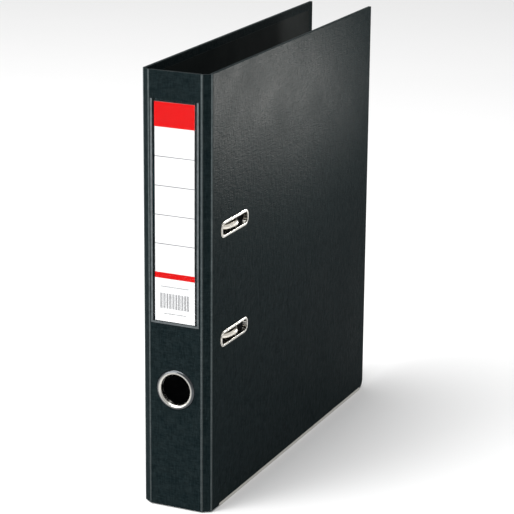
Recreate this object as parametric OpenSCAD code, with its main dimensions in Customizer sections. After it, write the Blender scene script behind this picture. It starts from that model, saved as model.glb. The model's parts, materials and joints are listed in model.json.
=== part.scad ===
// Lever arch file: a board case with a flat spine, two covers on creased hinge strips,
// and a nickel-plated lever mechanism riveted inside the back cover.
// Millimetres, +Z up. The origin is at the bottom centre of the bounding box.
// The spine faces -Y, the front cover is at +X and the back cover at -X.
// Every module works in case coordinates: x from the middle of the case, y from the
// spine's outer face and z from the surface it stands on. seated() moves them to the origin.

/* [Case] */
// Height of the covers and the spine
case_h = 318; // [312:1:324]
// Depth from the spine's outer face to the free edge of the covers
case_d = 290; // [284:1:296]
// Width over the outer faces of the two covers
case_w = 52.5; // [52:0.1:53]
// Width of the flat face of the spine
spine_flat = 40.6; // [39:0.2:42]
// Depth over which the slanted hinge strips run back
strip_d = 4.3; // [4:0.1:5]
// Thickness of a finished panel
panel_t = 2.3; // [2.1:0.1:2.6]
// Radius of the covers' lower free corners
corner_r = 7; // [4:0.5:10]
// Gap between a panel and the surface below, filled by the rails
panel_lift = 0.8; // [0.5:0.1:1.2]

/* [Label and thumb ring] */
// Width of the clear label pocket
pocket_w = 37; // [34:0.5:38]
// Height of the clear label pocket
pocket_h = 160.3; // [150:0.1:165]
// Height of the pocket's lower edge
pocket_z = 138; // [130:1:145]
// Height of the thumb ring's centre
ring_z = 90; // [70:1:100]
// Inner radius of the thumb ring
ring_r = 11.25; // [9:0.25:12]
// Outer radius of the thumb ring
ring_outer_r = 14.75; // [14:0.25:15.5]

/* [Front cover slots] */
// Distance between the two rings, centre to centre
pitch = 80; // [79.5:0.1:80.5]
// Height of the middle between the two rings
rings_z = 165; // [160:1:170]
// Length of the opening inside a slot's eyelet
slot_l = 40.9; // [40:0.1:42]
// Height of the opening inside a slot's eyelet
slot_w = 8; // [7:0.1:9]
// Distance from the spine's face to the middle of a slot
slot_y = 40.25; // [39.5:0.05:41]
// Width of the eyelet's rim
slot_rim = 1.8; // [1.2:0.1:2.2]

/* [Mechanism] */
// Diameter of the arch wire
wire_d = 4; // [3.6:0.1:4.2]
// Distance from the spine's face to the arch wire's pivot
pivot_y = 42; // [41.5:0.1:42.5]
// Height of the pivot above the back cover's lining
pivot_h = 4.6; // [4.4:0.1:4.8]
// Radius of the arch's top about the pivot
arch_r = 45.6; // [44.5:0.1:45.8]
// Lean of the arches' legs towards the spine, in degrees
leg_lean = 25; // [22:0.5:28]
// Distance from the spine's face to the two fixed posts
post_y = 66; // [65:0.1:67]
// Diameter of the fixed posts
post_d = 5; // [4.6:0.1:5.2]
// Length of the base plate
plate_l = 162; // [150:1:170]
// Length of the lever, from its pin to its tip
lever_l = 54; // [50:0.5:54]
// Length of the compressor bar
bar_l = 140; // [120:1:142]

/* [Hidden] */
$fn = 48;
eps = 0.01;

// Colours
film_c = [0.09, 0.12, 0.12];
lining_c = [0.05, 0.07, 0.07];
board_c = [0.55, 0.5, 0.43];
nickel_c = [0.78, 0.77, 0.73];
spring_c = [0.5, 0.5, 0.52];
grip_c = [0.06, 0.06, 0.06];
card_c = [0.96, 0.95, 0.93];
pocket_c = [0.85, 0.9, 0.92, 0.35];

// Panels: outer film, board and lining, with the film turned in over the edges
film_t = 0.25;
lining_t = 0.2;
turn_in = 6;
cover_x = case_w / 2;
inner_x = cover_x - panel_t;
board_z = panel_lift + film_t;

// Creases: the film rolls round two lines on each side, set in from the outer faces
crease_r = 0.6;
crease_gap = 0.85;
crease_a = [spine_flat / 2 - 0.2, crease_r];
crease_b = [cover_x - crease_r, strip_d + 0.3];
strip_run = crease_b - crease_a;
strip_l = norm(strip_run);
strip_angle = atan2(strip_run[1], strip_run[0]);
strip_inner = 0.5;
cover_y = crease_b[1] + crease_gap;
cover_bevel = 0.8;
spine_half = crease_a[0] - crease_gap;

// Thumb ring: an eyelet with a rolled rim, and a washer inside the spine
ring_proud = 1.2;
ring_wall = 0.6;
ring_hole_r = ring_r + ring_wall;
washer_t = 0.5;
washer_w = 2.6;

// Label pocket and card
pocket_t = 0.45;
pocket_skin = 0.12;
pocket_shift = -0.2;
card_w = 30.8;
card_h = 156.5;
card_t = 0.25;
card_gap = 0.04;
card_z = pocket_z + 2;

// Eyelets of the slots
eyelet_wall = 0.5;
eyelet_proud = 0.7;
eyelet_flange = 0.35;
eyelet_corner = 3;
ring_heights = [rings_z - pitch / 2, rings_z + pitch / 2];

// Rails along the covers' lower edges
rail_t = 0.35;
rail_h = 2.4;
rail_y0 = 16.5;
rail_y1 = case_d - corner_r;

// Base plate
plate_t = 1;
plate_y0 = 32;
plate_y1 = 71;
plate_lip = 2.5;
plate_corner = 5;
plate_x = -inner_x;
plate_top = plate_x + plate_t;
rivet_d = 4;
rivet_head_d = 9;
rivet_proud = 0.8;
rivet_y = [plate_y0 + 5, plate_y1 - 9];
rivet_z = [rings_z - plate_l / 2 + 8, rings_z + plate_l / 2 - 8];

// Arch wire. Headings are measured from +X towards +Y.
wire_r = wire_d / 2;
pivot_x = plate_x + pivot_h;
shoulder_r = 8;
shoulder_sweep = asin(shoulder_r / (arch_r - shoulder_r));
leg_l = sqrt(pow(arch_r - shoulder_r, 2) - pow(shoulder_r, 2));
arc_start = -leg_lean + shoulder_sweep;
arc_end = -3;
drop_heading = 122;
drop_r = 8;
tip_l = 1.5;
arc_end_y = pivot_y + arch_r * sin(arc_end);
arc_end_x = pivot_x + arch_r * cos(arc_end);
bend_end_y = arc_end_y + drop_r * (cos(90 + arc_end) - cos(drop_heading));
bend_end_x = arc_end_x + drop_r * (sin(drop_heading) - sin(90 + arc_end));
drop_l = (post_y - drop_r * (cos(drop_heading) + 1) - bend_end_y) / sin(drop_heading);
tip_x = bend_end_x + drop_l * cos(drop_heading) - drop_r * sin(drop_heading) - tip_l;
arch_top = pivot_x + (arch_r - drop_r) * cos(arc_end) + drop_r + wire_r;
foot_r = 5;
crank_off = 8;
crank_z = [rings_z - 23, rings_z + 7];
crank_y = pivot_y + crank_off;
bend_step = 0.02;
lap = 0.05;

// Bearings of the wire: ears on the base plate with running holes
bearing_t = 1.6;
bearing_w = 6.4;
bearing_gap = 0.1;
bearing_z = [ring_heights[0] + 7, ring_heights[1] - 23, ring_heights[1] - 8];

// Fixed posts, each with a cup that takes the end of the arch
post_r = post_d / 2;
cup_gap = 0.3;
cup_r = wire_r + cup_gap;
cup_sink = 1.4;
post_top = tip_x - cup_sink;
post_foot_r = 4;
post_foot_h = 1.2;
post_tail_r = 1.8;

// Lever, its pin and its roller
lever_pin_r = 1.5;
lever_pin_z = rings_z - 18;
lever_pin_x = pivot_x + 7.9;
roller_r = 3.4;
roller_z = lever_pin_z + 9;
roller_x = pivot_x + wire_r + roller_r + 0.15;
roller_pin_r = 1.25;
roller_w = 8;
cheek_in = 4.2;
cheek_t = 1;
cheek_r = 3.4;
web_end = 7;
cheek_out = cheek_in + cheek_t;
ear_in = cheek_out + 0.2;
ear_t = 1;
ear_half = 3.6;
lever_t = 1.4;
lever_half = 4.1;
lever_end_x = plate_top + 4.4;
pin_head_t = 0.6;
grip_l = 15;
grip_half = 4.6;
grip_h = 4.6;
running = 0.06;

// Return spring: a flat leaf under the crank
leaf_t = 0.5;
leaf_half = 2.5;
leaf_z = [rings_z - 8, rings_z + 4, rings_z + 18, rings_z + 34];
leaf_tip = pivot_x - wire_r - 0.1 - leaf_t;
leaf_rivet_z = leaf_z[3] - 6;
leaf_rivet_r = 1.2;

// Compressor
bar_half = 7.5;
bar_t = 1.2;
bar_lip = 2.5;
bar_lip_t = 1;
bar_x = plate_top + 5;
bar_hole_r = post_r + 0.6;
clip_t = 0.8;
clip_half = 6;
clip_tab = 4;

// Where the case coordinates' zero goes
x_reach = [-(cover_x + rivet_proud), arch_top];
shift_x = -(x_reach[0] + x_reach[1]) / 2;
shift_y = -(case_d - ring_proud) / 2;

module seated() {
    translate([shift_x, shift_y, 0]) children();
}

// A flat shape drawn in (y, z), made t thick from x0 towards +X
module slab_x(x0, t) {
    translate([x0, 0, 0]) rotate([90, 0, 90]) linear_extrude(t) children();
}

// A flat shape drawn in (x, z), made t thick from y0 towards +Y
module slab_y(y0, t) {
    translate([0, y0 + t, 0]) rotate([90, 0, 0]) linear_extrude(t) children();
}

// Drawn from a to b, two opposite corners
module rect(a, b) {
    translate(a) square(b - a);
}

module rod_x(r, x0, x1) {
    translate([x0, 0, 0]) rotate([0, 90, 0]) cylinder(h = x1 - x0, r = r);
}

module rod_y(r, y0, y1) {
    translate([0, y0, 0]) rotate([-90, 0, 0]) cylinder(h = y1 - y0, r = r);
}

module rounded_rect(a, b, r) {
    rect(a + [r, 0], b - [r, 0]);
    rect(a + [0, r], b - [0, r]);
    for (x = [a[0] + r, b[0] - r], y = [a[1] + r, b[1] - r]) translate([x, y]) circle(r);
}

// Side 1 is the front cover's. Side -1 is its mirror image, the back cover's.
module on_side(side) {
    if (side > 0) children();
    else mirror([1, 0, 0]) children();
}

// ---- Cover panels ----

// Outline of a cover in (y, z), set in from its edges
module cover_outline(inset) {
    r = corner_r - inset;
    z0 = panel_lift + inset;
    y1 = case_d - inset;
    rect([cover_y, z0], [y1 - r, case_h - inset]);
    rect([cover_y, z0 + r], [y1, case_h - inset]);
    translate([y1 - r, z0 + r]) circle(r);
}

// Cuts the hinge side of a panel back, so that the strip has room inside
module hinge_bevel() {
    translate([0, 0, -eps]) linear_extrude(case_h + 1)
        polygon([[inner_x - 1, cover_y - 1], [cover_x - 1.2, cover_y - 1],
                 [cover_x - 1.2, cover_y], [inner_x - 1, cover_y + cover_bevel]]);
}

module slot_outline(grow) {
    for (z = ring_heights)
        rounded_rect([slot_y - slot_l / 2 - grow, z - slot_w / 2 - grow],
                     [slot_y + slot_l / 2 + grow, z + slot_w / 2 + grow], eyelet_corner + grow);
}

module rivet_holes() {
    for (y = rivet_y, z = rivet_z) translate([y, z]) circle(rivet_d / 2 + 0.1);
}

// Openings of a cover: the slots in the front one, the rivet holes in the back one
module cover_openings(side) {
    if (side > 0) slot_outline(eyelet_wall);
    else rivet_holes();
}

module cover_board(side) {
    color(board_c) seated() on_side(side) difference() {
        slab_x(inner_x + lining_t, panel_t - film_t - lining_t) difference() {
            cover_outline(film_t);
            cover_openings(side);
        }
        hinge_bevel();
    }
}

// The film covers the outer face and the edges, and is turned in round a margin
module cover_film(side) {
    color(film_c) seated() on_side(side) difference() {
        slab_x(inner_x, panel_t) difference() {
            cover_outline(0);
            cover_openings(side);
        }
        slab_x(inner_x + lining_t, panel_t - film_t - lining_t) cover_outline(film_t);
        slab_x(inner_x - 1, 1 + lining_t) rect([cover_y - 1, panel_lift + turn_in],
                                               [case_d - turn_in, case_h - turn_in]);
        hinge_bevel();
    }
}

module cover_lining(side) {
    gap = 0.05;
    color(lining_c) seated() on_side(side) slab_x(inner_x, lining_t) difference() {
        rect([cover_y + 1, panel_lift + turn_in + gap],
             [case_d - turn_in - gap, case_h - turn_in - gap]);
        cover_openings(side);
    }
}

module rail(side) {
    color(nickel_c) seated() on_side(side) difference() {
        translate([inner_x - rail_t, rail_y0, 0])
            cube([panel_t + 2 * rail_t, rail_y1 - rail_y0, rail_h]);
        translate([inner_x, rail_y0 - 1, panel_lift])
            cube([panel_t, rail_y1 - rail_y0 + 2, rail_h]);
    }
}

module front_board() { cover_board(1); }
module front_film() { cover_film(1); }
module front_lining() { cover_lining(1); }
module front_rail() { rail(1); }
module back_board() { cover_board(-1); }
module back_film() { cover_film(-1); }
module back_lining() { cover_lining(-1); }
module back_rail() { rail(-1); }

// ---- Spine ----

module spine_board() {
    color(board_c) seated() slab_y(film_t, panel_t - film_t - lining_t) difference() {
        rect([-spine_half, board_z], [spine_half, case_h - film_t]);
        translate([0, ring_z]) circle(ring_hole_r);
    }
}

// The film's section runs from one crease to the other, with a roll along each crease
module spine_film() {
    color(film_c) seated() difference() {
        union() {
            translate([0, 0, panel_lift]) linear_extrude(case_h - panel_lift) {
                rect([-crease_a[0], 0], [crease_a[0], film_t]);
                for (s = [-1, 1]) translate([s * crease_a[0], crease_a[1]]) circle(crease_r);
            }
            for (z = [panel_lift, case_h - film_t]) translate([-spine_half, 0, z])
                cube([2 * spine_half, panel_t, film_t]);
            for (z = [panel_lift, case_h - turn_in])
                translate([-spine_half, panel_t - lining_t, z])
                    cube([2 * spine_half, lining_t, turn_in]);
        }
        translate([0, 0, ring_z]) rod_y(ring_hole_r, -1, panel_t + 1);
    }
}

module spine_lining() {
    gap = 0.05;
    color(lining_c) seated() slab_y(panel_t - lining_t, lining_t) difference() {
        rect([-spine_half, panel_lift + turn_in + gap],
             [spine_half, case_h - turn_in - gap]);
        translate([0, ring_z]) circle(ring_hole_r);
    }
}

// Eyelet: a tube through the panel and a domed rim on the outer face
module thumb_ring() {
    half_w = (ring_outer_r - ring_r) / 2;
    dome_r = (half_w * half_w + ring_proud * ring_proud) / (2 * ring_proud);
    color(nickel_c) seated() translate([0, 0, ring_z]) rotate([-90, 0, 0]) rotate_extrude($fn = 96) {
        rect([ring_r, -eps], [ring_hole_r, panel_t + washer_t]);
        intersection() {
            translate([ring_r + half_w, dome_r - ring_proud]) circle(dome_r);
            rect([ring_r, -ring_proud - eps], [ring_outer_r, 0]);
        }
    }
}

module thumb_ring_washer() {
    color(nickel_c) seated() translate([0, 0, ring_z]) inner_ring(ring_hole_r, ring_hole_r + washer_w);
}

// A flat ring on the spine's inner face
module inner_ring(r0, r1) {
    difference() {
        rod_y(r1, panel_t, panel_t + washer_t);
        rod_y(r0, panel_t - 1, panel_t + washer_t + 1);
    }
}

// Clear pocket, welded at the sides and the bottom and open at the top
module label_pocket() {
    cavity_w = card_w + 2 * card_gap;
    color(pocket_c) seated() translate([pocket_shift, 0, pocket_z]) difference() {
        translate([-pocket_w / 2, -pocket_t, 0]) cube([pocket_w, pocket_t, pocket_h]);
        translate([-cavity_w / 2, -pocket_t + pocket_skin, card_z - pocket_z - card_gap])
            cube([cavity_w, pocket_t, pocket_h]);
    }
}

module label_card() {
    color(card_c) seated() translate([pocket_shift - card_w / 2, -card_t - card_gap, card_z])
        cube([card_w, card_t, card_h]);
}

// ---- Hinge strips ----

module hinge_strip(side) {
    color(film_c) seated() on_side(side) translate([crease_a[0], crease_a[1], panel_lift])
        rotate(strip_angle) linear_extrude(case_h - panel_lift) {
            rect([crease_gap, -crease_r], [strip_l - crease_gap, strip_inner]);
            rect([crease_gap, -crease_r], [strip_l, -crease_r + film_t]);
            translate([strip_l, 0]) circle(crease_r);
        }
}

module front_hinge_strip() { hinge_strip(1); }
module back_hinge_strip() { hinge_strip(-1); }

// ---- Slot eyelets ----

module slot_ring(z, x0, t, grow0, grow1) {
    slab_x(x0, t) difference() {
        rounded_rect([slot_y - slot_l / 2 - grow1, z - slot_w / 2 - grow1],
                     [slot_y + slot_l / 2 + grow1, z + slot_w / 2 + grow1],
                     eyelet_corner + grow1);
        rounded_rect([slot_y - slot_l / 2 - grow0, z - slot_w / 2 - grow0],
                     [slot_y + slot_l / 2 + grow0, z + slot_w / 2 + grow0],
                     eyelet_corner + grow0);
    }
}

module slot_eyelet(z) {
    color(nickel_c) seated() {
        slot_ring(z, cover_x, eyelet_flange, 0, slot_rim);
        slot_ring(z, cover_x, eyelet_proud, 0, slot_rim * 0.6);
        slot_ring(z, inner_x - washer_t, panel_t + washer_t, 0, eyelet_wall);
    }
}

module slot_washer(z) {
    color(nickel_c) seated() slot_ring(z, inner_x - washer_t, washer_t, eyelet_wall, slot_rim);
}

module slot_eyelet_upper() { slot_eyelet(ring_heights[1]); }
module slot_eyelet_lower() { slot_eyelet(ring_heights[0]); }
module slot_washer_upper() { slot_washer(ring_heights[1]); }
module slot_washer_lower() { slot_washer(ring_heights[0]); }

// ---- Base plate, rivets and posts ----

// An ear that stands on the plate and holds the wire, drawn in (x, y)
module bearing() {
    difference() {
        union() {
            rect([plate_top - eps, pivot_y - bearing_w / 2], [pivot_x, pivot_y + bearing_w / 2]);
            translate([pivot_x, pivot_y]) circle(bearing_w / 2);
        }
        translate([pivot_x, pivot_y]) circle(wire_r + bearing_gap);
        rect([plate_x - 2, pivot_y - bearing_w], [plate_top - eps, pivot_y + bearing_w]);
    }
}

// An ear that holds the lever's pin, drawn in (x, z)
module lever_ear() {
    difference() {
        union() {
            rect([plate_top - eps, lever_pin_z - ear_half], [lever_pin_x, lever_pin_z + ear_half]);
            translate([lever_pin_x, lever_pin_z]) circle(ear_half);
        }
        translate([lever_pin_x, lever_pin_z]) circle(lever_pin_r);
    }
}

module base_plate() {
    z0 = rings_z - plate_l / 2;
    z1 = rings_z + plate_l / 2;
    color(nickel_c) seated() {
        slab_x(plate_x, plate_t) difference() {
            rounded_rect([plate_y0, z0], [plate_y1, z1], plate_corner);
            rivet_holes();
            for (z = ring_heights) translate([post_y, z]) circle(post_tail_r);
            translate([crank_y, leaf_rivet_z]) circle(leaf_rivet_r);
        }
        for (y = [plate_y0, plate_y1 - plate_t])
            translate([plate_x, y, z0 + plate_corner])
                cube([plate_lip, plate_t, plate_l - 2 * plate_corner]);
        for (z = bearing_z) translate([0, 0, z - bearing_t / 2]) linear_extrude(bearing_t) bearing();
        for (y = [crank_y - ear_in - ear_t, crank_y + ear_in]) slab_y(y, ear_t) lever_ear();
    }
}

module base_rivets() {
    head_r = rivet_head_d / 2;
    color(nickel_c) seated() for (y = rivet_y, z = rivet_z) translate([0, y, z]) {
        rod_x(rivet_d / 2, -cover_x - eps, plate_top + eps);
        rod_x(head_r, -cover_x - rivet_proud, -cover_x);
        rod_x(head_r * 0.8, plate_top, plate_top + rivet_proud);
    }
}

module post(z) {
    color(nickel_c) seated() translate([0, post_y, z]) difference() {
        union() {
            rod_x(post_r, plate_top, post_top);
            rod_x(post_foot_r, plate_top, plate_top + post_foot_h);
            rod_x(post_tail_r, plate_x, plate_top + eps);
        }
        translate([tip_x, 0, 0]) sphere(cup_r);
    }
}

module post_upper() { post(ring_heights[1]); }
module post_lower() { post(ring_heights[0]); }

// ---- Arch wire ----

// One bend in the plane of +Z and +X, starting at the origin along +Z
module wire_bend(bend_r, angle, r) {
    translate([bend_r, 0, 0]) rotate([90, 0, 0]) mirror([1, 0, 0])
        rotate_extrude(angle = angle) translate([bend_r, 0]) circle(r);
}

// Follows a list of steps. A step is [straight length, bend radius, bend angle, roll before it].
// The bends are a hair thicker than the straights, which run a little way into them.
module wire_run(steps, i = 0) {
    if (i < len(steps)) {
        s = steps[i];
        if (i > 0) translate([0, 0, -lap]) cylinder(h = s[0] + 2 * lap, r = wire_r);
        translate([0, 0, s[0]]) rotate(s[3]) {
            wire_bend(s[1], s[2], wire_r + bend_step * (1 + i % 2));
            translate([s[1] * (1 - cos(s[2])), 0, s[1] * sin(s[2])]) rotate([0, s[2], 0])
                wire_run(steps, i + 1);
        }
    }
    else wire_tip();
}

// The straight end of the arch, rounded off
module wire_tip() {
    rotate_extrude() {
        translate([0, -lap]) square([wire_r, tip_l + lap]);
        intersection() {
            translate([0, tip_l]) circle(wire_r);
            translate([0, tip_l - eps]) square([wire_r + 1, wire_r + 1]);
        }
    }
}

// From the crank's end, over the arch to its tip. The roll at the foot sets the leg's lean.
function arch_steps(rod_l) = [
    [0, crank_off / 2, 90, 0],
    [0, crank_off / 2, 90, 180],
    [rod_l, foot_r, 90, -90 - leg_lean],
    [leg_l - foot_r, shoulder_r, 90 + shoulder_sweep, 90],
    [0, arch_r, arc_end - arc_start, 0],
    [0, drop_r, drop_heading - 90 - arc_end, 0],
    [drop_l, drop_r, 180 - drop_heading, 0]
];

module arch_wire() {
    color(nickel_c) seated() {
        translate([pivot_x, crank_y, crank_z[0] - lap])
            cylinder(h = crank_z[1] - crank_z[0] + 2 * lap, r = wire_r);
        translate([pivot_x, crank_y, crank_z[1]]) rotate(-90)
            wire_run(arch_steps(ring_heights[1] - foot_r - crank_z[1] - crank_off));
        translate([pivot_x, crank_y, crank_z[0]]) mirror([0, 0, 1]) rotate(-90)
            wire_run(arch_steps(crank_z[0] - crank_off - ring_heights[0] - foot_r));
    }
}

// ---- Lever ----

// A side cheek, drawn in (x, z), with its two running holes
module cheek() {
    top = lever_pin_x + cheek_r;
    small_r = 2.9;
    difference() {
        union() {
            translate([lever_pin_x, lever_pin_z]) circle(cheek_r);
            translate([roller_x, roller_z]) circle(small_r);
            polygon([[lever_pin_x - cheek_r, lever_pin_z], [roller_x - small_r, roller_z],
                     [roller_x - 2.4, roller_z + 9], [roller_x + 1, roller_z + 11],
                     [top, roller_z + web_end], [top, lever_pin_z]]);
        }
        translate([lever_pin_x, lever_pin_z]) circle(lever_pin_r + running);
        translate([roller_x, roller_z]) circle(roller_pin_r);
    }
}

// Side view of the handle, drawn in (x, z)
module handle_side() {
    top = lever_pin_x + cheek_r;
    z1 = roller_z + web_end;
    z_end = lever_pin_z + lever_l - 1.5;
    polygon([[top - lever_t, lever_pin_z + 4.5], [top, lever_pin_z + 4.5], [top, z1 + 4],
             [lever_end_x + 0.6, z1 + 19.5], [lever_end_x, z1 + 22.8], [lever_end_x, z_end],
             [lever_end_x - lever_t, z_end], [lever_end_x - lever_t, z1 + 22.4],
             [lever_end_x - 0.8, z1 + 19.1], [top - lever_t, z1 + 3.6]]);
}

module lever() {
    color(nickel_c) seated() {
        for (y = [crank_y - cheek_out, crank_y + cheek_in]) slab_y(y, cheek_t) cheek();
        slab_y(crank_y - cheek_out, 2 * cheek_out) intersection() {
            handle_side();
            rect([-cover_x, 0], [0, roller_z + web_end]);
        }
        slab_y(crank_y - lever_half, 2 * lever_half) handle_side();
    }
}

module lever_grip() {
    z1 = lever_pin_z + lever_l;
    mid = lever_end_x - lever_t / 2;
    r = grip_h / 2;
    fit = 0.03;
    color(grip_c) seated() difference() {
        slab_y(crank_y - grip_half, 2 * grip_half) {
            rect([mid - r, z1 - grip_l], [mid + r, z1 - r]);
            translate([mid, z1 - r]) circle(r);
        }
        translate([lever_end_x - lever_t - fit, crank_y - lever_half - fit, z1 - grip_l - 1])
            cube([lever_t + 2 * fit, 2 * (lever_half + fit), grip_l - 0.5 + fit]);
    }
}

module lever_pin() {
    y0 = crank_y - ear_in - ear_t;
    y1 = crank_y + ear_in + ear_t;
    color(nickel_c) seated() translate([lever_pin_x, 0, lever_pin_z]) {
        rod_y(lever_pin_r, y0 - eps, y1 + eps);
        rod_y(lever_pin_r + 0.8, y0 - pin_head_t, y0);
        rod_y(lever_pin_r + 0.8, y1, y1 + pin_head_t);
    }
}

module roller_pin() {
    head = 0.5;
    color(nickel_c) seated() translate([roller_x, 0, roller_z]) {
        rod_y(roller_pin_r, crank_y - cheek_out - eps, crank_y + cheek_out + eps);
        rod_y(roller_pin_r + 0.6, crank_y - cheek_out - head, crank_y - cheek_out);
        rod_y(roller_pin_r + 0.6, crank_y + cheek_out, crank_y + cheek_out + head);
    }
}

module roller() {
    color(spring_c) seated() translate([roller_x, 0, roller_z]) difference() {
        rod_y(roller_r, crank_y - roller_w / 2, crank_y + roller_w / 2);
        rod_y(roller_pin_r + running, 0, case_d);
    }
}

// ---- Return spring ----

module return_spring() {
    color(spring_c) seated() difference() {
        slab_y(crank_y - leaf_half, 2 * leaf_half)
            polygon([[plate_top, leaf_z[3]], [plate_top, leaf_z[2]],
                     [leaf_tip, leaf_z[1]], [leaf_tip, leaf_z[0]],
                     [leaf_tip + leaf_t, leaf_z[0]], [leaf_tip + leaf_t, leaf_z[1]],
                     [plate_top + leaf_t, leaf_z[2]], [plate_top + leaf_t, leaf_z[3]]]);
        translate([0, crank_y, leaf_rivet_z]) rod_x(leaf_rivet_r, -cover_x, 0);
    }
}

module spring_rivet() {
    head_r = 2.1;
    head_t = 0.5;
    color(nickel_c) seated() translate([0, crank_y, leaf_rivet_z]) {
        rod_x(leaf_rivet_r, plate_x, plate_top + leaf_t + eps);
        rod_x(head_r, plate_top + leaf_t, plate_top + leaf_t + head_t);
    }
}

// ---- Compressor ----

module compressor_bar() {
    z0 = rings_z - bar_l / 2;
    z1 = rings_z + bar_l / 2;
    lips = [post_y - bar_half, post_y + bar_half - bar_lip_t];
    color(nickel_c) seated() {
        slab_x(bar_x, bar_t) difference() {
            rounded_rect([post_y - bar_half, z0], [post_y + bar_half, z1], bar_half - eps);
            for (z = ring_heights) translate([post_y, z]) circle(bar_hole_r);
        }
        for (y = lips) translate([bar_x - bar_lip, y, z0 + bar_half])
            cube([bar_lip + bar_t, bar_lip_t, bar_l - 2 * bar_half]);
    }
}

// Two spring clips that grip the posts, each with a tab to lift it by
module compressor_clips() {
    x0 = bar_x + bar_t;
    color(spring_c) seated() for (i = [0, 1]) {
        z = ring_heights[i];
        side = i == 0 ? -1 : 1;
        slab_x(x0, clip_t) difference() {
            rect([post_y - clip_half, z - clip_half], [post_y + clip_half, z + clip_half]);
            translate([post_y, z]) circle(post_r + bearing_gap);
        }
        translate([x0, post_y - clip_half, z + side * (clip_half - clip_t / 2) - clip_t / 2])
            cube([clip_tab, 2 * clip_half, clip_t]);
    }
}

spine_board();
spine_film();
spine_lining();
thumb_ring();
thumb_ring_washer();
label_pocket();
label_card();
front_hinge_strip();
back_hinge_strip();
front_board();
front_film();
front_lining();
slot_eyelet_upper();
slot_eyelet_lower();
slot_washer_upper();
slot_washer_lower();
front_rail();
back_board();
back_film();
back_lining();
back_rail();
base_plate();
base_rivets();
post_upper();
post_lower();
return_spring();
spring_rivet();
lever_pin();
lever();
lever_grip();
roller_pin();
roller();
arch_wire();
compressor_bar();
compressor_clips();
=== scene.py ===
import json
import math

import bpy
from mathutils import Matrix, Vector


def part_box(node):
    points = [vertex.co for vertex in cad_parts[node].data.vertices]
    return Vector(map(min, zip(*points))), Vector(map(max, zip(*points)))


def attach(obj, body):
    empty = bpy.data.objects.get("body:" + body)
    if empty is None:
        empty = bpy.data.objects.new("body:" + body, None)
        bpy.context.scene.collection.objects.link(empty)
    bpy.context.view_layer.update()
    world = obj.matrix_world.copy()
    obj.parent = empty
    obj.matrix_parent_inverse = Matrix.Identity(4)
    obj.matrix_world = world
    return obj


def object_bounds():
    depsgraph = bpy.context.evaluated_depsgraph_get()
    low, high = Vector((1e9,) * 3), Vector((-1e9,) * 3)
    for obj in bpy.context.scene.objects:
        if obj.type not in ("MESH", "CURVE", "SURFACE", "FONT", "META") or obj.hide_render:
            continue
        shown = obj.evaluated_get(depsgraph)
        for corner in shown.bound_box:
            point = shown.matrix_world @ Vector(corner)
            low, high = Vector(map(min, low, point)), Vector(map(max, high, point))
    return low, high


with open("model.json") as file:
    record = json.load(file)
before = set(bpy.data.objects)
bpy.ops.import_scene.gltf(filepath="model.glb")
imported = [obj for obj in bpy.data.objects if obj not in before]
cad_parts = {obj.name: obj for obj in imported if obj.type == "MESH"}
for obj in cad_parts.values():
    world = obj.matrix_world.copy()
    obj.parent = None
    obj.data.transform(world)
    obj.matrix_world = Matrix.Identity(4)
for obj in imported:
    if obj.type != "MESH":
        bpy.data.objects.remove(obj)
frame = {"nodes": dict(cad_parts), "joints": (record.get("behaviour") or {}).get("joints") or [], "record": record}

MM = 0.001
cad_bounds = [list(corner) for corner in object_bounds()]


# ---- Where things are ----

def corners(node):
    low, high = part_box(node)
    return Vector(low), Vector(high)


# ---- Material building blocks ----

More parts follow.
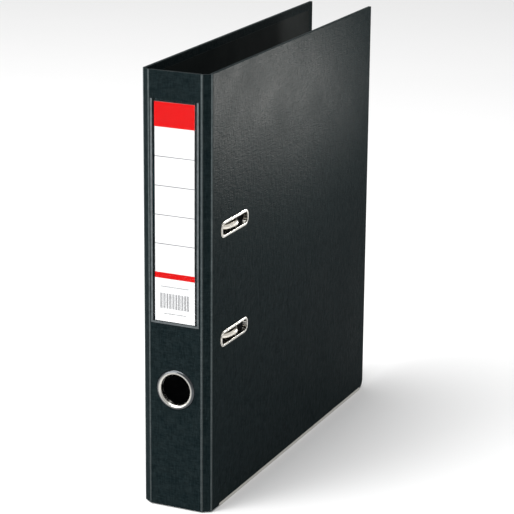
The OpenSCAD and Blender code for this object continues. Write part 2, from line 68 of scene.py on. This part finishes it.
class Shader:
    """A Principled material, with short calls for the nodes that feed it."""

    def __init__(self, name, color, roughness, metallic=0.0, specular=0.5):
        self.mat = bpy.data.materials.new(name)
        self.mat.use_nodes = True
        self.tree = self.mat.node_tree
        self.bsdf = self.tree.nodes["Principled BSDF"]
        self.set(self.bsdf, "Base Color", (*color, 1))
        self.set(self.bsdf, "Roughness", roughness)
        self.set(self.bsdf, "Metallic", metallic)
        self.set(self.bsdf, "Specular IOR Level", specular)
        self.coord = self.node("ShaderNodeTexCoord").outputs["Object"]
        self.normal = None

    def node(self, kind):
        return self.tree.nodes.new(kind)

    def set(self, node, socket, value):
        """Puts a constant on a socket, or links an output to it."""
        if isinstance(value, bpy.types.NodeSocket):
            self.tree.links.new(value, node.inputs[socket])
        else:
            node.inputs[socket].default_value = value

    def noise(self, scale, detail=3.0, roughness=0.55):
        """Noise with its own scale on each axis, in cycles per metre."""
        mapping = self.node("ShaderNodeMapping")
        self.set(mapping, "Vector", self.coord)
        self.set(mapping, "Scale", scale if isinstance(scale, tuple) else (scale,) * 3)
        tex = self.node("ShaderNodeTexNoise")
        self.set(tex, "Vector", mapping.outputs["Vector"])
        self.set(tex, "Scale", 1.0)
        self.set(tex, "Detail", detail)
        self.set(tex, "Roughness", roughness)
        return tex.outputs["Fac"]

    def spread(self, value, low, high, start=0.3, stop=0.7):
        """Stretches a value from start..stop to low..high."""
        fit = self.node("ShaderNodeMapRange")
        self.set(fit, "Value", value)
        for socket, number in (("From Min", start), ("From Max", stop),
                               ("To Min", low), ("To Max", high)):
            self.set(fit, socket, number)
        return fit.outputs["Result"]

    def math(self, operation, a, b):
        calc = self.node("ShaderNodeMath")
        calc.operation = operation
        self.set(calc, 0, a)
        self.set(calc, 1, b)
        return calc.outputs[0]

    def mix(self, factor, a, b):
        """Mixes two colours."""
        mixer = self.node("ShaderNodeMixRGB")
        self.set(mixer, "Fac", factor)
        for socket, color in (("Color1", a), ("Color2", b)):
            if not isinstance(color, bpy.types.NodeSocket):
                color = (*color, 1)
            self.set(mixer, socket, color)
        return mixer.outputs["Color"]

    def soft_edges(self, radius):
        """Rounds the sharp edges of the shape in the shading only."""
        bevel = self.node("ShaderNodeBevel")
        bevel.samples = 6
        self.set(bevel, "Radius", radius)
        self.normal = bevel.outputs["Normal"]

    def bump(self, height, strength, distance):
        bump = self.node("ShaderNodeBump")
        self.set(bump, "Strength", strength)
        self.set(bump, "Distance", distance)
        self.set(bump, "Height", height)
        if self.normal is not None:
            self.set(bump, "Normal", self.normal)
        self.normal = bump.outputs["Normal"]

    def done(self):
        if self.normal is not None:
            self.set(self.bsdf, "Normal", self.normal)
        return self.mat


# ---- Materials ----

def film(name, low, high, dust_and_highlight):
    """Black film with a linen emboss over a finer grain, uneven in gloss.
    It is dusty in the low spots and painted paler along its edges, a painted highlight on their rounding."""
    s = Shader(name, low, 0.33)
    s.set(s.bsdf, "IOR", 1.04)
    s.soft_edges(0.5 * MM)
    # How far the rounded normal turns from the true one: the mask of the painted edge highlight
    edge_highlight_dot = s.node("ShaderNodeVectorMath")
    edge_highlight_dot.operation = "DOT_PRODUCT"
    s.set(edge_highlight_dot, 0, s.normal)
    s.set(edge_highlight_dot, 1, s.node("ShaderNodeNewGeometry").outputs["Normal"])
    edge = s.spread(edge_highlight_dot.outputs["Value"], 1.0, 0.0, 0.75, 0.995)
    across = s.noise((240, 240, 1100), 2.0)
    along = s.noise((950, 950, 200), 2.0)
    weave = s.math("ADD", across, along)
    s.bump(s.noise(9.0, 2.0), 0.25, 0.4 * MM)
    s.bump(s.noise(190.0, 3.0), 0.5, 0.25 * MM)
    s.bump(weave, 1.0, 0.2 * MM)
    s.set(s.bsdf, "Roughness", s.spread(s.noise(22.0, 4.0), 0.3, 0.4))
    threads = s.mix(s.spread(weave, 0.0, 1.0, 0.8, 1.25), low, high)
    dusty = s.mix(s.spread(s.noise(160.0, 5.0), 0.0, 0.12), threads, dust_and_highlight)
    # Painted highlight: the edges are mixed towards the pale colour
    s.set(s.bsdf, "Base Color", s.mix(s.math("MULTIPLY", edge, 0.8), dusty, dust_and_highlight))
    return s.done()


def lining_material():
    """Smooth satin film on the inside, with faint pressing marks."""
    s = Shader("lining_satin", (0.008, 0.011, 0.011), 0.45)
    s.set(s.bsdf, "IOR", 1.07)
    s.bump(s.noise(14.0, 3.0), 0.25, 0.4 * MM)
    s.bump(s.noise((1500, 1500, 500), 2.0), 0.5, 0.06 * MM)
    s.set(s.bsdf, "Roughness", s.spread(s.noise(30.0, 4.0), 0.42, 0.6))
    return s.done()


def board_material():
    """Board under its film wrap: only its edges beside the creases show, coloured as the wrap."""
    s = Shader("board_wrapped", (0.008, 0.011, 0.012), 0.6, specular=0.2)
    fibre = s.noise((900, 900, 120), 4.0)
    s.set(s.bsdf, "Base Color",
          s.mix(s.spread(fibre, 0, 1), (0.005, 0.008, 0.009), (0.014, 0.019, 0.02)))
    s.bump(fibre, 0.6, 0.1 * MM)
    return s.done()


def plated(name, color, roughness, edge, shaded_rim=None):
    """Nickel plate: drawn lines, fine scratches and duller patches.
    The last argument is a ring's centre and the radii between which it darkens from plain nickel to a painted
    shade."""
    s = Shader(name, color, roughness[0], metallic=1.0)
    s.soft_edges(edge)
    s.set(s.bsdf, "Roughness", s.spread(s.noise(120.0, 4.0), *roughness))
    dull = tuple(0.82 * c for c in color)
    tone = s.mix(s.spread(s.noise(300.0, 3.0), 0, 0.6), color, dull)
    if shaded_rim:
        centre, inner, outer = shaded_rim
        flat = s.node("ShaderNodeVectorMath")
        flat.operation = "MULTIPLY"
        s.set(flat, 0, s.coord)
        s.set(flat, 1, (1, 0, 1))
        away = s.node("ShaderNodeVectorMath")
        away.operation = "DISTANCE"
        s.set(away, 0, flat.outputs["Vector"])
        s.set(away, 1, (centre.x, 0, centre.z))
        # Painted shade: darker towards the ring's outer edge
        tone = s.mix(s.spread(away.outputs["Value"], 0, 1, inner, outer), tone, (0.07, 0.075, 0.08))
    s.set(s.bsdf, "Base Color", tone)
    s.bump(s.noise((2500, 2500, 90), 2.0), 0.12, 0.02 * MM)
    s.bump(s.noise(45.0, 2.0), 0.15, 0.1 * MM)
    return s.done()


def spring_material():
    """Satin spring steel, ground across its width."""
    s = Shader("spring_steel_satin", (0.42, 0.42, 0.43), 0.35, metallic=1.0)
    s.soft_edges(0.15 * MM)
    s.set(s.bsdf, "Roughness", s.spread(s.noise((3000, 200, 200), 3.0), 0.25, 0.5))
    s.bump(s.noise((4000, 300, 300), 2.0), 0.3, 0.02 * MM)
    return s.done()


def grip_material():
    """Moulded black plastic with a spark-eroded grain."""
    s = Shader("grip_moulded", (0.014, 0.014, 0.015), 0.45)
    s.soft_edges(0.4 * MM)
    s.set(s.bsdf, "Roughness", s.spread(s.noise(90.0, 4.0), 0.38, 0.55))
    s.bump(s.noise(2200.0, 2.0), 0.35, 0.03 * MM)
    return s.done()


def card_material():
    """Coated card, a little uneven in tone."""
    s = Shader("label_card_coated", (0.66, 0.665, 0.67), 0.4, specular=0.3)
    tint = s.spread(s.noise(60.0, 5.0), 0, 1)
    s.set(s.bsdf, "Base Color", s.mix(tint, (0.65, 0.655, 0.66), (0.68, 0.685, 0.69)))
    s.bump(s.noise(1800.0, 2.0), 0.15, 0.015 * MM)
    return s.done()


def ink_material(name, color):
    """Printed ink: almost flat, with the card's grain coming through."""
    s = Shader(name, color, 0.5, specular=0.05)
    lighter = tuple(min(1.0, 1.1 * c + 0.002) for c in color)
    s.set(s.bsdf, "Base Color", s.mix(s.spread(s.noise(900.0, 3.0), 0, 0.5), color, lighter))
    s.bump(s.noise(1800.0, 2.0), 0.15, 0.015 * MM)
    return s.done()


def pocket_material():
    """Clear soft film, a little wavy, with a faint haze."""
    s = Shader("pocket_film_clear", (0.05, 0.055, 0.06), 0.12, specular=0.2)
    s.set(s.bsdf, "Alpha", s.spread(s.noise(40.0, 4.0), 0.02, 0.04))
    s.set(s.bsdf, "Roughness", s.spread(s.noise(35.0, 4.0), 0.08, 0.2))
    s.bump(s.noise((40, 40, 14), 2.0), 0.3, 0.3 * MM)
    return s.done()


def weld_material():
    """The pocket's welded border, where the film lies on the black and looks grey."""
    s = Shader("pocket_weld", (0.06, 0.075, 0.08), 0.35, specular=0.3)
    s.set(s.bsdf, "Base Color",
          s.mix(s.spread(s.noise(300.0, 3.0), 0, 1), (0.04, 0.05, 0.053), (0.08, 0.093, 0.098)))
    s.bump(s.noise((900, 900, 900), 2.0), 0.5, 0.05 * MM)
    return s.done()


NICKEL = (0.6, 0.585, 0.545)
NICKEL_GLOSS = (0.14, 0.28)
# Paler film for the crease sleeves: a painted highlight along each rolled crease
CREASE_HIGHLIGHT_FILM = film("film_crease_painted_highlight", (0.045, 0.056, 0.058), (0.07, 0.083, 0.085),
                 (0.09, 0.105, 0.105))
MATERIALS = {
    "cover_film": film("cover_film_linen", (0.0029, 0.0064, 0.0074), (0.0078, 0.0135, 0.015),
                       (0.035, 0.044, 0.044)),
    "lining": lining_material(),
    "board": board_material(),
    "nickel": plated("nickel_plate", NICKEL, NICKEL_GLOSS, 0.35 * MM),
    "wire": plated("nickel_wire", (0.86, 0.82, 0.74), (0.12, 0.22), 0.05 * MM),
    "spring_steel": spring_material(),
    "grip": grip_material(),
    "label_card": card_material(),
    "clear_film": pocket_material(),
}

for entry in frame["record"]["subparts"]:
    node = frame["nodes"][entry["node"]]
    slots = node.material_slots
    if not slots:
        raise SystemExit("no material slot on " + entry["node"])
    for slot in slots:
        slot.material = MATERIALS[entry["material_slot"]]


# The thumb ring keeps plain nickel inside and is painted darker towards its outer edge: painted shade
ring_low, ring_high = corners("thumb_ring")
ring_r = (ring_high.x - ring_low.x) / 2
SHADE_FROM = 2.6 * MM
SHADE_TO = 1.3 * MM
frame["nodes"]["thumb_ring"].material_slots[0].material = plated(
    "nickel_ring", NICKEL, NICKEL_GLOSS, 0.2 * MM,
    ((ring_low + ring_high) / 2, ring_r - SHADE_FROM, ring_r - SHADE_TO))


# ---- Pieces ----

def mesh_object(name, verts, faces, material):
    mesh = bpy.data.meshes.new(name)
    mesh.from_pydata(verts, [], faces)
    mesh.materials.append(material)
    obj = bpy.data.objects.new(name, mesh)
    bpy.context.scene.collection.objects.link(obj)
    return obj


def piece(name, boxes, material, body, edge=0.0):
    """One mesh made of boxes, each given by its low and high corner, riding on a body."""
    verts, faces = [], []
    for low, high in boxes:
        first = len(verts)
        verts += [(x, y, z) for x in (low[0], high[0]) for y in (low[1], high[1])
                  for z in (low[2], high[2])]
        faces += [[first + i for i in ring] for ring in
                  ((0, 1, 3, 2), (4, 6, 7, 5), (0, 4, 5, 1),
                   (2, 3, 7, 6), (0, 2, 6, 4), (1, 5, 7, 3))]
    obj = mesh_object(name, verts, faces, material)
    if edge:
        bevel = obj.modifiers.new("edge", "BEVEL")
        bevel.width = edge
        bevel.segments = 3
    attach(obj, body)


# Print on the label, in millimetres: across from the card's left edge, up from its lower edge
INK_T = 0.02 * MM
card_low, card_high = corners("label_card")


def printed(name, fields, material):
    """Fields of ink, each (left, right, bottom, top) in millimetres on the card."""
    boxes = [((card_low.x + x0 * MM, card_low.y - INK_T, card_low.z + z0 * MM),
              (card_low.x + x1 * MM, card_low.y, card_low.z + z1 * MM))
             for x0, x1, z0, z1 in fields]
    piece(name, boxes, material, "case_spine")


card_w = (card_high.x - card_low.x) / MM
card_h = (card_high.z - card_low.z) / MM
RED_BLOCK = 17.5
BAR_Z = 31.3
BAR_H = 4.2
LINE_H = 0.5
FRAME_W = 0.3
FIELDS = 5
field_top = card_h - RED_BLOCK
field_step = (field_top - BAR_Z - BAR_H) / FIELDS
red = ink_material("label_ink_red", (0.5, 0.001, 0.001))
grey = ink_material("label_ink_grey", (0.13, 0.135, 0.14))
dark = ink_material("label_ink_dark", (0.05, 0.05, 0.055))
printed("label_red_block", [(0, card_w, field_top, card_h)], red)
printed("label_red_bar", [(0, card_w, BAR_Z, BAR_Z + BAR_H)], red)
printed("label_lines", [(0, card_w, z - LINE_H / 2, z + LINE_H / 2)
                        for z in (field_top - i * field_step for i in range(1, FIELDS))], grey)
printed("label_frame", [(0, FRAME_W, BAR_Z + BAR_H, field_top),
                        (card_w - FRAME_W, card_w, BAR_Z + BAR_H, field_top)], grey)
# Plain bars of no meaning take the place of the small print
BARS = 26
BARS_IN = 4
BARS_LOW = 9.5
BARS_HIGH = 20.5
BAR_PITCH = 0.88
BAR_W = 0.34
BAR_VARIES = 0.2
BAR_PHASE = 2.4
RULE_H = 0.35
UPPER_RULE = (4.5, 25.2)
LOWER_RULE = (7, 5.6)
printed("label_plain_bars",
        [(BARS_IN + i * BAR_PITCH,
          BARS_IN + i * BAR_PITCH + BAR_W + BAR_VARIES * math.sin(BAR_PHASE * i),
          BARS_LOW, BARS_HIGH) for i in range(BARS)], dark)
printed("label_rules", [(inset, card_w - inset, z, z + RULE_H)
                        for inset, z in (UPPER_RULE, LOWER_RULE)], grey)

# The pocket's welds: raised borders left, right and below. Its top is open.
pocket_low, pocket_high = corners("label_pocket")
WELD_W = 1.5 * MM
WELD_T = 0.06 * MM
WELD_ROUND = 0.02 * MM
face = pocket_low.y
left, right = pocket_low.x, pocket_high.x
piece("pocket_welds",
      [((left, face - WELD_T, pocket_low.z), (left + WELD_W, face, pocket_high.z)),
       ((right - WELD_W, face - WELD_T, pocket_low.z), (right, face, pocket_high.z)),
       ((left + WELD_W, face - WELD_T, pocket_low.z),
        (right - WELD_W, face, pocket_low.z + WELD_W))],
      weld_material(), "case_spine", WELD_ROUND)

# The rolled creases of the film, painted pale as a painted highlight: sleeves round the hinge lines
CREASE_R = 0.82 * MM
SIDES = 20
joints = {joint["name"]: joint for joint in frame["joints"]}


def crease(name, joint, node, body):
    """A sleeve along a joint's line, as tall as the node."""
    low, high = corners(node)
    x, y, _ = joints[joint]["pos_m"]
    rings = [(x + CREASE_R * math.cos(2 * math.pi * i / SIDES),
              y + CREASE_R * math.sin(2 * math.pi * i / SIDES), z)
             for z in (low.z, high.z) for i in range(SIDES)]
    faces = [(i, (i + 1) % SIDES, SIDES + (i + 1) % SIDES, SIDES + i) for i in range(SIDES)]
    faces += [tuple(reversed(range(SIDES))), tuple(range(SIDES, 2 * SIDES))]
    obj = mesh_object(name, rings, faces, CREASE_HIGHLIGHT_FILM)
    for polygon in obj.data.polygons[:SIDES]:
        polygon.use_smooth = True
    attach(obj, body)


for side in ("front", "back"):
    crease("crease_spine_" + side, side + "_spine_crease", "spine_film", "case_spine")
    crease("crease_cover_" + side, side + "_cover_crease", side + "_hinge_strip", side + "_hinge")

# Ribs on the lever's grip
grip_low, grip_high = corners("lever_grip")
RIBS = 5
RIB_H = 0.7 * MM
RIB_STEP = 1.9 * MM
RIB_IN = 1.2 * MM
RIB_BELOW_TOP = 4.2 * MM
RIB_SUNK = 0.1 * MM
RIB_PROUD = 0.35 * MM
RIB_ROUND = 0.12 * MM
rib_z = [grip_high.z - RIB_BELOW_TOP - i * RIB_STEP for i in range(RIBS)]
piece("lever_grip_ribs",
      [((grip_high.x - RIB_SUNK, grip_low.y + RIB_IN, z - RIB_H / 2),
        (grip_high.x + RIB_PROUD, grip_high.y - RIB_IN, z + RIB_H / 2)) for z in rib_z],
      MATERIALS["grip"], "lever", RIB_ROUND)


# ---- Floor, light and camera ----

def plain(name, color, roughness):
    """A matt backdrop, very slightly uneven."""
    s = Shader(name, color, roughness, specular=0.1)
    s.set(s.bsdf, "Base Color", s.mix(s.spread(s.noise(3.0, 2.0), 0, 1), color,
                                      tuple(0.99 * c for c in color)))
    return s.done()


FLOOR_HALF = 8.0
FLOOR_DROP = 0.05 * MM
floor = mesh_object("floor", [(-FLOOR_HALF, -FLOOR_HALF, 0), (FLOOR_HALF, -FLOOR_HALF, 0),
                              (FLOOR_HALF, FLOOR_HALF, 0), (-FLOOR_HALF, FLOOR_HALF, 0)],
                    [(0, 1, 2, 3)], plain("floor_pale", (0.88, 0.88, 0.88), 0.9))
floor.location.z = cad_bounds[0][2] - FLOOR_DROP

world = bpy.data.worlds.new("studio")
bpy.context.scene.world = world
world.use_nodes = True
background = world.node_tree.nodes["Background"]
background.inputs["Color"].default_value = (1.0, 1.0, 1.0, 1)
background.inputs["Strength"].default_value = 0.7


def softbox(name, place, aim, size, watts, color=(1, 1, 1), spread=180):
    """A round area light at a place, turned to a point. Spread is in degrees."""
    light = bpy.data.lights.new(name, "AREA")
    light.shape = "DISK"
    light.size = size
    light.energy = watts
    light.color = color
    light.spread = math.radians(spread)
    obj = bpy.data.objects.new(name, light)
    bpy.context.scene.collection.objects.link(obj)
    obj.location = place
    obj.rotation_euler = (Vector(aim) - Vector(place)).to_track_quat("-Z", "Y").to_euler()


softbox("key_above", (-0.5, -0.7, 2.0), (0, 0.1, 0.1), 2.0, 46)
softbox("sheen_behind", (0.25, 0.36, 0.20), (0.03, -0.20, 0.36), 0.14, 0.4,
        (1.0, 0.98, 0.94), 60)
softbox("fill_front", (-0.9, -1.4, 0.5), (0, 0, 0.16), 0.9, 16)

# The camera turns round the middle of the case and is then moved sideways in its own plane
AZIMUTH = math.radians(24.56)
ELEVATION = math.radians(16.85)
ROLL = math.radians(0.49)
DISTANCE = 1.62625
LENS = 151.55
SENSOR = 36
FAR = 50
SIDE_MOVE = -2.54 * MM
UP_MOVE = -9.42 * MM
AIM_BACK = 142 * MM
AIM_FORWARD = 0.25 * MM
spine_low, spine_high = corners("spine_board")
_, cover_high = corners("front_film")
aim = Vector(((spine_low.x + spine_high.x) / 2, spine_low.y - AIM_FORWARD + AIM_BACK,
              cover_high.z / 2))

back = Vector((math.sin(AZIMUTH) * math.cos(ELEVATION),
               -math.cos(AZIMUTH) * math.cos(ELEVATION), math.sin(ELEVATION)))
across = (-back).cross(Vector((0, 0, 1))).normalized()
up = across.cross(-back)
camera_x = math.cos(ROLL) * across + math.sin(ROLL) * up
camera_y = -math.sin(ROLL) * across + math.cos(ROLL) * up
camera_data = bpy.data.cameras.new("camera")
camera_data.lens = LENS
camera_data.sensor_width = SENSOR
camera_data.clip_end = FAR
camera = bpy.data.objects.new("camera", camera_data)
bpy.context.scene.collection.objects.link(camera)
turn = Matrix((camera_x, camera_y, back)).transposed().to_4x4()
camera.matrix_world = Matrix.Translation(
    aim + back * DISTANCE + across * SIDE_MOVE + up * UP_MOVE) @ turn
bpy.context.scene.camera = camera
bpy.context.scene.view_settings.view_transform = "Standard"
